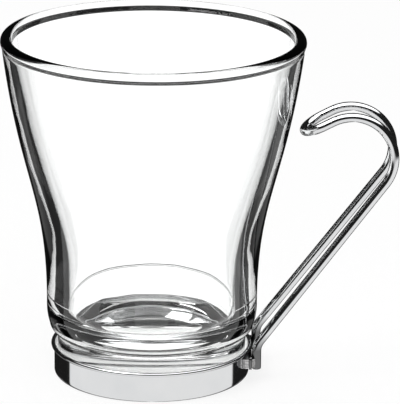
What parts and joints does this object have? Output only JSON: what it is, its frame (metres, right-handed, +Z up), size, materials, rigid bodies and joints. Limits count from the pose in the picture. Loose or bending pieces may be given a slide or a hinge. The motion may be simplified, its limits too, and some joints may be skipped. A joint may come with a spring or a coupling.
{
  "type": "cappuccino mug",
  "caption": "Flared clear glass mug bonded into a shallow polished steel base cup, with a springy hairpin wire handle welded to the cup, for serving hot drinks.",
  "frame": {"origin": "on the glass's axis, at the flat underside of the steel base cup, where the mug stands on a table", "axes": "+Z up along the glass's axis, +X out along the handle, +Y completes the right-handed frame"},
  "size_m": [0.1097, 0.0838, 0.097],
  "materials": {
    "clear_glass": "fire-polished, clear",
    "milky_sealant": "milky, satin",
    "polished_steel": "mirror polished stainless steel",
    "weld_metal": "dressed weld"
  },
  "bodies": {
    "root": {"glass": "clear_glass", "bond_pad": "milky_sealant", "bond_bead": "milky_sealant", "base_cup": "polished_steel", "handle_plate": "polished_steel", "handle_wire": "polished_steel", "plate_weld_front": "weld_metal", "plate_weld_rear": "weld_metal", "leg_weld_front": "weld_metal", "leg_weld_rear": "weld_metal"}
  },
  "joints": []
}
